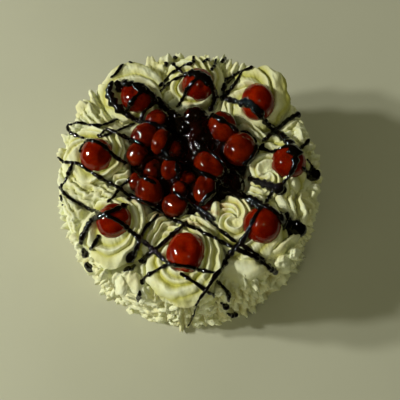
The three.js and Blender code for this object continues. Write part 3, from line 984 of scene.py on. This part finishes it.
# Strands of sauce: half-width, or half-widths spread along it, and the route at the pour's level.
strands = [
    [[0.9, 1.3, 1.0, 1.0, 1.1], (-60.8, 29.1), (-64.4, 28.3), (-65.6, 25.4), (-60, 22.4),
     (-54.5, 19.3)],
    [[1.0, 1.2, 1.4, 1.4, 1.2], (-55.9, 12), (-56.6, 15.2), (-55, 17.4), (-50.5, 18.6), (-45.4, 15.9),
     (-41.5, 11.5), (-37.6, 6.7), (-32.1, 3.1)],
    [[0.9, 1.1, 1.2, 1.2, 1.1, 1.2, 1.3, 1.7], (-68.3, 9.9), (-66.8, 6.8), (-62, 5.8), (-56, 5),
     (-50, -1), (-38, -9), (-31, -14.5), (-20, -19.5), (-10, -28.5), (4, -36), (14, -42.5), (31, -51.5),
     (41, -61)],
    [1.1, (3, -25), (12, -34), (21, -42), (31, -49.5), (36, -54)],
    [[1.1, 1.1, 1.1, 1.5, 1.3, 1.2, 1.0], (-71, -2.4), (-65.9, -8.9), (-61.3, -14.7), (-54.9, -18.5),
     (-47.3, -23.7), (-39.1, -26.4), (-33, -31.5), (-26.8, -37.6), (-18, -46), (-12, -53), (-3, -53),
     (4, -57), (12, -59)],
    [1.0, (-6, -57), (-5, -59), (2, -64), (10, -70)],
    [[0.8, 0.9, 1.1, 1.0, 0.8], (-60.8, 29.1), (-55.8, 29.8), (-52.1, 27.6), (-46.8, 26.3),
     (-41.4, 28.1), (-36.1, 30.6)],
    [0.9, (-42.8, 25.3), (-44.1, 22.8), (-47.1, 20.5)],
    [0.9, (-47.1, 20.5), (-42.5, 20.6), (-38.1, 22.5), (-32.2, 24.9), (-26.8, 27.1)],
    [1.1, (-42.8, 24.5), (-38.8, 23.1), (-33.6, 18.7), (-27.7, 15.7), (-22.5, 12.8)],
    [[0.8, 1.1, 1.0], (-40, 56.4), (-36.6, 58.4), (-35, 62), (-32.6, 65)],
    [0.9, (-30.5, 65.6), (-27.2, 65)],
    [[1.9, 2.6, 2.9, 2.6, 1.5, 1.4, 1.5, 1.3], (-38.2, 53.9), (-41, 50.5), (-41.4, 46), (-40.2, 42),
     (-37.3, 37.8), (-32.7, 33.8), (-25.5, 28.2), (-19, 26.6), (-10, 23)],
    [[2.0, 2.6, 2.7], (-35.6, 52.2), (-35.4, 49), (-34.6, 46.4)],
    [[1.8, 2.8, 3.1, 3.0, 2.6], (-38, 53), (-33.4, 52.4), (-29, 51), (-24, 49.6), (-20.6, 47.2),
     (-18, 44.4), (-16.4, 41.4)],
    [[1.9, 1.3, 1.5, 1.2], (-21, 48.4), (-24.7, 45), (-27.7, 41.8), (-30, 38.1), (-31, 35.4)],
    [1.2, (-23.3, 27.7), (-23, 33.1), (-20, 36.2), (-17.5, 37.7), (-14.9, 40.9)],
    [1.9, (-15, 42.5), (-8.5, 33), (-2, 26)],
    [[1.3, 1.5, 1.2, 1.2], (-15.1, 7.1), (-11, 4.8), (-5.9, 2.6), (0.6, 1.2), (6, -3.8)],
    [[0.9, 1.1], (-12.2, 9.8), (-9.3, 13.2), (-7.2, 15.8)],
    [[1.4, 1.8, 1.4], (-5.6, 1.2), (-4.7, -3.4), (-5.4, -8.1)],
    [[1.1, 1.4, 1.2], (-28.6, 0.5), (-25, -4.9), (-16.7, -9.4)],
    [0.9, (6.9, 62.8), (1.3, 62), (-5.9, 56.7), (-9.6, 52.4), (-13.2, 48.1)],
    [0.9, (1, 55.1), (-5.1, 52.6), (-9.2, 49.5), (-12.8, 45.7)],
    [1.1, (7.3, 68), (7, 65.5), (6.9, 62.8)],
    [1.0, (2, 47), (0, 40), (-4, 35)],
    [[1.8, 1.4, 0.9], (-10, 64.4), (-7.4, 63.4), (-8.4, 61)],
    [0.9, (-4.6, 67.4), (-2, 66.8)],
    [[1.2, 0.8], (-5.4, 64), (-1.8, 59.3), (0.6, 56.2)],
    [[1.2, 1.1, 0.8], (17.3, 66.4), (14.4, 64), (11.5, 63)],
    [[1.1, 1.4], (24.8, 65), (22.1, 62.6)],
    [[1.0, 0.9, 1.3], (19.7, 64.8), (19.3, 60.7), (16.1, 57.4)],
    [[1.5, 2.6, 3.5, 3.3, 2.4, 2.2, 2.0, 1.6], (1, 54.4), (5.2, 57.2), (10.6, 55.6), (14.2, 51.4),
     (16.4, 45.8), (18.4, 40.6), (16.9, 36.4), (13.8, 31.6)],
    [[1.6, 1.2, 1.3, 1.0], (11.1, 56), (8.3, 52.2), (3.7, 48.5), (1.3, 45.3), (0.8, 41.4)],
    [1.7, (20, 40), (30, 36), (39, 32), (43.5, 22), (49, 17)],
    [[1.8, 1.9, 2.8, 3.5, 3.4, 2.0, 1.1, 1.1, 1.4], (49, 17), (54, 10), (57.5, 5.5), (58.2, 2),
     (57.6, -1.5), (56.4, -5), (54, -8.3), (51, -11.4), (47.5, -15)],
    [[0.9, 0.9, 1.4], (45.9, 4.3), (48.4, 6.3), (51.8, 7.3), (56, 7.2)],
    [[1.5, 2.0, 2.4, 3.2], (31, -9), (38, -12.6), (44.5, -15.5), (48.3, -16.5)],
    [[1.4, 1.6, 2.0, 2.0, 2.4, 3.4, 4.0, 3.6], (20.7, -15.9), (27, -17.4), (31, -20.7), (36, -24),
     (41, -27), (44.6, -31.6), (48.8, -35.4), (51.5, -37.5)],
    [[2.0, 1.4, 1.2, 1.2, 1.3], (-30.4, -47.4), (-28, -43), (-24, -34), (-16, -26)],
    [[1.7, 1.3, 1.4, 1.3], (-24.4, -49), (-17, -44), (-8, -36.5), (-2, -32)],
    [[1.6, 1.2], (-31.6, -54.6), (-28, -52)],
    [[1.2, 0.9, 1.0, 0.9, 1.0], (-25.6, -60.5), (-24.4, -58.8), (-21.8, -57.5), (-16.7, -54.9),
     (-11.7, -53)],
    [[0.6, 1.2, 1.3, 0.7], (-26.3, -64.6), (-27.2, -67.9), (-27.3, -70.4)],
    [[0.5, 0.7, 0.9, 1.3, 1.5, 1.6, 1.4, 1.1, 1.1, 1.3], (-3.9, -83.3), (-2, -80.6), (-0.1, -76.6),
     (0.6, -73.9), (1.6, -71.1), (6.4, -66.6), (10, -61), (17.4, -51.6), (20.1, -47.7), (26.8, -41.4),
     (28.9, -38.4), (31.1, -34), (33.3, -30.2), (36.1, -27.1), (44, -17)],
    [[1.7, 1.9, 2.2, 2.0, 1.6, 1.6, 1.8, 1.1], (-55, -39.5), (-54.7, -35), (-51.6, -30.6),
     (-48.5, -25.8), (-44.2, -25.7), (-37.9, -22.6), (-31.5, -20)],
    [[1.2, 1.7, 1.4], (-55.2, -41.5), (-54.4, -44), (-52.9, -46.3)],
    [[1.6, 2.4], (-53, -49), (-50, -53)],
    [[1.0, 1.4, 1.5], (-50.6, -42.6), (-48.6, -39.6), (-46, -35.5)],
    [0.9, (-42, -18.5), (-36, -11), (-30, -5)],
    [1.2, (-66, -8), (-62, 0), (-60, 6)],
    [0.8, (-66.7, -12.2), (-65.8, -15.8)],
    [0.6, (-64.2, -26.2), (-64.1, -29.2)],
    [0.6, (-70.2, 4.8), (-68.3, 5.8)],
    [0.6, (-70, 1.8), (-69, 0)],
    [[1.6, 1.9, 1.7, 1.2, 1.1, 1.2], (21, 44), (23, 48), (26, 51), (30, 53.5), (33.5, 55.4),
     (37.5, 56.2), (42, 58)],
    [[1.7, 1.3, 1.3, 1.2, 0.9], (22, 42), (24.5, 41.4), (26.5, 44.5), (29.5, 47.5), (32, 51.5),
     (33.3, 55)],
    [[1.3, 1.5, 1.4, 1.8], (41, 11), (48, 17), (56, 23), (60, 26), (64, 25)],
    [1.3, (30, -2), (38, 6), (42, 10)],
    [1.2, (38, 8), (46, 4), (48, 6)],
    [1.1, (60, 5), (66, 11)],
    [0.9, (62.5, -0.8), (64.7, -3.7), (66, -5.9), (65.2, -9)],
    [[0.9, 1.4], (59.5, -5), (62, -7.5), (64, -9)],
    [[0.8, 0.9, 1.3, 1.3, 0.8], (11.7, -62.5), (13.6, -64.8), (16.2, -68.2), (16.9, -73.2)],
    [[0.7, 1.0], (12.7, -72.9), (14.3, -74.4), (15.3, -75.8)],
    [[0.8, 1.1, 1.1], (14.7, -78.4), (17.4, -79.8), (19.8, -81.2)],
    [1.3, (5, -22), (9, -18), (14, -15)],
    [1.0, (-31, -14.5), (-31, -18)],
    [[1.8, 2.2, 2.4], (-18, 42), (-7, 33.5), (1, 20.5)],
    [[1.0, 1.1, 1.2, 1.6], (-35, 35.5), (-26.5, 30), (-18, 25.5), (-10, 22.5), (0, 20)],
    [1.5, (15, 29), (24, 22.5), (28, 18)],
    [0.9, (-7.7, 19), (-13, 8.5)],
    [1.1, (-35, 20.5), (-25, 15), (-22, 13)],
    [[1.0, 1.3, 1.5, 1.3], (-10.5, 5.7), (-7, 3.7), (-1, 2), (5.5, -3), (13, -8.5), (21, -14)],
    [[1.6, 1.1, 1.3], (5, 14.5), (11, 7.5), (17, 2), (21.5, -6)],
    [1.0, (-5.8, 2.4), (-5.4, -6)],
    [1.2, (-7.5, -15), (-1, -20.5), (6, -25), (13, -31.5)],
    [1.1, (14, -15.5), (4.5, -23.5)],
    [1.8, (16, -14), (25, -18), (32, -22.5), (36, -27)],
    [[1.2, 2.0, 1.4], (37, 9.5), (35.5, 4), (29.5, -1.5)],
    [1.2, (30, 18), (35.5, 15.5), (38, 10.5)],
    [1.6, (33, 38), (38, 34), (43, 27)],
]
# Round drops of sauce: place, the two half-widths, and the direction of the first in degrees.
drops = [
    [(65.5, -9.8), (4.0, 3.7), 0],
    [(53.4, -37.8), (5.3, 4.8), -40],
    [(47.6, -17.2), (3.2, 2.7), 0],
    [(50.4, -41.2), (2.8, 2.3), 70],
    [(-30.7, -47.6), (3.3, 2.6), 60],
    [(-24.6, -49.5), (2.4, 2.2), 0],
    [(-31.9, -54.7), (2.5, 2.1), 20],
    [(-25.5, -60.8), (1.5, 1.4), 0],
    [(15, -75.5), (1.9, 1.8), 0],
    [(17.4, -79.8), (1.6, 1.5), 0],
    [(19.2, -79.4), (1.8, 1.6), 0],
    [(-52.7, -44.6), (2.0, 1.6), 80],
    [(-51.4, -51.4), (3.4, 2.1), -60],
    [(-46.4, -36.2), (1.2, 1.1), 0],
    [(-65.2, -17.8), (0.6, 0.5), 0],
    [(-63.3, -32.4), (0.7, 0.6), 0],
]
# Flakes that stand out of the cream: place at the pour's level, or the middle itself where a height is
# given, half sizes, and direction of the first in degrees.
flakes = [
    [(-10.2, -74.5), (2.7, 1.3, 1), 8],
    [(-11.0, -76.3), (2.2, 1.2, 0.9), -10],
    [(-12.3, -78.2), (2.2, 1.4, 1), 5],
    [(-9.4, -79.6), (2.7, 1.2, 0.9), 10],
    [(-11.4, -81.4), (2.2, 1.3, 1), -5],
    [(-9.4, -81.9), (2.2, 1.2, 0.9), 5],
    [(3.2, -76.5), (2.6, 1.8, 1.2), 10],
    [(0.9, -78.8), (1.9, 1.5, 1), 0],
    [(2.0, -81.9), (2.2, 1.4, 1), -15],
    [(-0.3, -82.4), (1.7, 1.1, 0.8), 0],
    [(9.6, -74.5), (1.9, 1.7, 1.2), 25],
    [(8.8, -76.6), (1.7, 1.4, 1), 0],
    [(9.1, -78.7), (2.3, 1.6, 1.2), -10],
    [(9.9, -81.2), (2, 1.7, 1.2), 10],
    [(7.2, -82.3), (1.9, 1.8, 1.2), 0],
    [(10.4, -82.9), (2.2, 1.4, 1), -10],
    [(12.0, -67.9), (2.3, 2.2, 1.9), 0],
    [(-23.8, -77.0), (1.7, 1.3, 0.9), -20],
    [(-21.7, -78.8), (2.2, 1.4, 0.9), -15],
    [(-19.8, -81.8), (2.2, 1.6, 1), -25],
    [(-17.1, -78.8), (2.4, 1.4, 1), 0],
    [(-15.0, -74.7), (2.6, 1.5, 1), 10],
    [(-35.2, -69.5), (2.2, 1.5, 1), -30],
    [(-36.0, -73.3), (1.7, 1.2, 0.9), -20],
    [(-31.0, -74.6), (2.6, 1.6, 1), -25],
    [(-44.5, -61.0), (2.4, 1.6, 1.1), -40],
    [(-46.9, -56.4), (2.2, 1.6, 1.1), -45],
    [(-35.1, -61.6), (3.4, 5.4, 1.7), -12],
    [(-24.8, -68.9), (1.6, 3.6, 1.3), -32],
    [(29.6, -65.3), (1.1, 3.4, 1.2), 28],
    [(34.1, -64.3), (1.7, 1.2, 1), 0],
    [(23.9, -65.9), (1.9, 1.7, 1.2), 20],
    [(44.8, -53.6, 67.2), (4.2, 3.5, 4.6), 35],
    [(51.2, -50.2, 67.0), (3.4, 2.9, 4.8), 40],
    [(57.4, -47.3), (1.1, 1.6, 1.1), 0],
]
flake = {
    "rows": 18,
    "columns": 28,
    "pole": 0.03,
    "size": 1.1,
    "seed": 65,
    "uneven": 0.2,
    "up": Vector((-0.42, -0.3, 0.86)),
    "upwards": 0.3,
    "outwards": 0.5,
    "back": 0.4,
}


def surfaceTree(pieces):
    # one search tree of all the faces of several pieces
    points, faces = [], []
    count = 0
    for piece in pieces:
        mesh = piece.data
        own = np.zeros(len(mesh.vertices) * 3, np.float32)
        mesh.vertices.foreach_get("co", own)
        points.append(own.reshape(-1, 3) / mm)
        mesh.calc_loop_triangles()
        triangles = np.zeros(len(mesh.loop_triangles) * 3, np.int32)
        mesh.loop_triangles.foreach_get("vertices", triangles)
        faces.append(triangles.reshape(-1, 3) + count)
        count += len(own) // 3
    return BVHTree.FromPolygons(np.concatenate(points).tolist(), np.concatenate(faces).tolist())


def lump(centre, halves, up, heading, number, uneven):
    # a flattened ball: its own up, the direction of its length in degrees, and its unevenness
    ahead = Vector((math.cos(math.radians(heading)), math.sin(math.radians(heading)), 0))
    side = up.cross(ahead).normalized()
    ahead = side.cross(up)
    unit, _, _ = ballOf(flake["rows"], flake["columns"], flake["pole"])
    unit = unit * (1 + rumple(unit + 5 * number, (uneven, flake["size"], flake["seed"])))[..., None]
    return (unit * halves) @ np.array([ahead, side, up]) + centre


def landed(tree, place):
    # where a line from the pour through a place at its level meets the cake, the slope there, and the line
    aim = (Vector((*place, pour["level"])) - pour["point"]).normalized()
    landing, normal, _, _ = tree.ray_cast(pour["point"], aim)
    return landing, normal, aim


def pointsAlong(travel):
    return max(pour["leastPoints"], int(travel[-1] / pour["step"]))


def thrown(tree, route, number):
    # the route is rounded, wanders a little sideways, and lands where a line from the pour meets the cake
    corners = np.array(route, float)
    line = evenly(corners, pointsAlong(travelOf(corners)))
    line = rounded(line, min(pour["softness"], len(line) / 6))
    flat = stacked(line[:, 0], line[:, 1], 30.0 * number)
    amounts = [(pour["wobble"], pour["wobbleLength"], seed) for seed in pour["wobbleSeeds"]]
    line = line + np.stack([rumple(flat, amount) for amount in amounts], axis=1)
    landings = [landed(tree, point)[0] for point in line]
    return np.array([landing for landing in landings if landing is not None])


def settled(tree, path, stand, slack):
    # pulls each point of a path to between the least and the most lift above the nearest surface, then
    # in front of what hides it from the pour, and off it, further on steep faces. Gives the path and the
    # slope under it
    low, high = pour["lift"]
    path = rounded(path, slack)
    up = []
    for i, point in enumerate(path):
        place, normal, _, _ = tree.find_nearest(Vector(point))
        lift = (Vector(point) - place).dot(normal)
        path[i] = place + normal * float(np.clip(lift, low * stand[i], high * stand[i]))
        up.append(normal)
    path = rounded(path, slack)
    for i, point in enumerate(path):
        aim = Vector(point) - pour["point"]
        place, _, _, far = tree.ray_cast(pour["point"], aim.normalized())
        if place is not None and far < aim.length:
            path[i] = place
        steepness = 1 - abs(up[i][2])
        path[i] -= np.array(aim.normalized()) * stand[i] * (low + pour["sideLift"] * steepness)
    return rounded(path, 1), unitOf(rounded(np.array(up), 2 * slack))


def strandGrid(tree, widths, route, number):
    # a bead carried along the landed route, slightly flat: its half-width swells and thins, its ends are
    # round, and it bridges what is narrow
    landings = thrown(tree, route, number)
    if len(landings) < 4:
        return None
    widths = np.atleast_1d(widths)
    half = np.interp(np.linspace(0, 1, len(landings)), np.linspace(0, 1, len(widths)), widths)
    travel = travelOf(landings)
    places = np.linspace(0, travel[-1], pointsAlong(travel))
    path = spread(landings, travel, places)
    half = np.interp(places, travel, half)
    tallest = np.where(path[:, 2] > pour["high"], pour["tallest"], pour["deepest"])
    slack = max(1.6, pour["slack"] * float(np.mean(widths)) / pour["step"])
    path, up = settled(tree, path, np.minimum(half, tallest), slack)
    ahead = unitOf(np.gradient(path, axis=0))
    up = unitOf(up - ahead * (up * ahead).sum(axis=1, keepdims=True))
    side = np.cross(ahead, up)
    along = stacked(places, 0 * places, 17.0 * number)
    half = half * pour["thickness"] * (1 + rumple(along, pour["beads"]))
    fromEnd = np.minimum(places, places[::-1])
    half = half * np.sqrt(1 - (1 - np.clip(fromEnd / half, 0.02, 1)) ** 2)
    angle = ringOf(pour["sides"])
    upward = np.sin(angle) * pour["flatness"] * np.where(np.sin(angle) < 0, 0.7, 1)
    upward = upward * np.minimum(half, tallest)[:, None]
    across = side[:, None, :] * np.cos(angle)[..., None] * -half[:, None, None]
    return path[:, None, :] + across + up[:, None, :] * upward[..., None]


def dropGrid(tree, place, halves, heading, number):
    # a flattened ball where the drop lands, its flat side between the surface and the pour
    landing, normal, aim = landed(tree, place)
    if landing is None:
        return None
    up = (normal - 2 * aim).normalized()
    centre = landing + pour["dropRise"] * min(halves) * up
    halves = (*halves, pour["dropHeight"] * min(halves))
    return lump(centre, halves, up, heading, number, pour["dropUneven"])


def makeFlakes():
    # each flake lies against the cream where it lands, and faces up and towards -X
    tree = surfaceTree([coatSide, coatTop, *swirlPieces])
    grids = []
    for number, (place, halves, heading) in enumerate(flakes):
        landing, normal, aim = landed(tree, place[:2])
        if len(place) == 3:
            centre = Vector(place)
        elif landing is None:
            continue
        else:
            out = Vector((normal[0], normal[1], flake["upwards"]))
            centre = landing + out * flake["outwards"] - aim * flake["back"]
        grid = lump(centre, halves, flake["up"], heading, number, flake["uneven"])
        grid[..., 2] = np.maximum(grid[..., 2], 0)
        grids.append(grid)
    return meshOf("cream_flakes", grids)


def makeStrands():
    # every strand and every drop that lands on the cake, as one mesh
    tree = surfaceTree([coatSide, coatTop, pool, flakePiece, *swirlPieces, *cherryPieces])
    grids = [strandGrid(tree, widths, route, number) for number, (widths, *route) in enumerate(strands)]
    grids += [dropGrid(tree, *drop, number) for number, drop in enumerate(drops)]
    return meshOf("sauce_strands", [grid for grid in grids if grid is not None])


flakePiece = placed(makeFlakes(), cream, "cream")
placed(makeStrands(), sauce, "sauce")
print("sauce made")


floorLook = {
    "colors": (shade(200, 200, 174), shade(194, 194, 168)),
    "grainSize": 60,
    "roughness": 0.6,
    "roughnessVary": 0.1,
    "specular": 0.2,
    "radius": 2500,
    "columns": 96,
    "shares": [1.0, 1.0, 0.5],
    "heights": [-6, -0.05, -0.05],
}


def makeFloor(look):
    # a round of floor, flat and wide
    paint = Paint("pale floor")
    grain = paint.noise(look["grainSize"], 4)
    material = paint.finish({
        "Base Color": paint.mixed(grain, *look["colors"]),
        "Roughness": look["roughness"] + grain * look["roughnessVary"],
    }, look)
    angle = ringOf(look["columns"])
    radius = look["radius"] * np.array(look["shares"])[:, None]
    height = np.array(look["heights"])[:, None]
    floor = meshOf("floor", [stacked(radius * np.cos(angle), radius * np.sin(angle), height)])
    floor.data.materials.append(material)


# Lamps: place and aim in metres, width in metres, power in watts, colour, and whether they make glints.
lamps = {
    "left_key": [(-0.95, 0.105, 0.72), (0, 0, 0.05), 0.08, 5.1, (1.0, 1.0, 0.97), True],
    "right_key": [(-0.95, -0.045, 0.72), (0, 0, 0.05), 0.08, 5.1, (1.0, 1.0, 0.97), True],
    "fill": [(-0.5, -0.8, 0.55), (0, 0, 0.05), 1.0, 1.5, (1.0, 0.99, 0.8), False],
    "back": [(0.2, 0.5, 0.55), (0.04, 0.04, 0.07), 0.4, 0.32, (1.0, 1.0, 0.85), False],
    "glint": [(0.05, -0.3, 1.4), (0, 0, 0.07), 0.02, 0.4, (1.0, 1.0, 0.97), True],
}
surroundings = {"Color": (0.9, 0.89, 0.5, 1), "Strength": 0.1}
view = {
    "position": pour["point"],
    "target": Vector((5.62, 7.12, 0)),
    "roll": 3.61,
    "lens": 52.5,
    "sensor": 36,
    "nearest": 0.01,
}


def makeLamp(name, place, aim, size, power, color, glints):
    light = bpy.data.lights.new(name, "AREA")
    light.shape = "DISK"
    light.size = size
    light.energy = power
    light.color = color
    holder = linked(name, light)
    holder.location = place
    holder.rotation_euler = (Vector(aim) - Vector(place)).to_track_quat("-Z", "Y").to_euler()
    holder.visible_glossy = glints


def makeSurroundings(look):
    # soft light from all round, which dark glossy sauce doesn't mirror
    world = bpy.data.worlds.new("soft surroundings")
    world.use_nodes = True
    for key, value in look.items():
        world.node_tree.nodes["Background"].inputs[key].default_value = value
    bpy.context.scene.world = world
    world.cycles_visibility.glossy = False
    bpy.context.scene.view_settings.view_transform = "Standard"


def makeCamera(look):
    # looks from the position to the target, rolled about that line
    camera = bpy.data.cameras.new("camera")
    camera.lens = look["lens"]
    camera.sensor_width = look["sensor"]
    camera.clip_start = look["nearest"]
    ahead = (look["target"] - look["position"]).normalized()
    level = Vector((1, 0, 0))
    above = level.cross(ahead)
    roll = math.radians(look["roll"])
    right = math.cos(roll) * level - math.sin(roll) * above
    up = math.sin(roll) * level + math.cos(roll) * above
    turn = Matrix((right, up, -ahead)).transposed().to_4x4()
    holder = linked("camera", camera)
    holder.matrix_world = Matrix.Translation(look["position"] * mm) @ turn
    bpy.context.scene.camera = holder


makeFloor(floorLook)
for name, values in lamps.items():
    makeLamp(name, *values)
makeSurroundings(surroundings)
makeCamera(view)
print("floor, light and camera made")
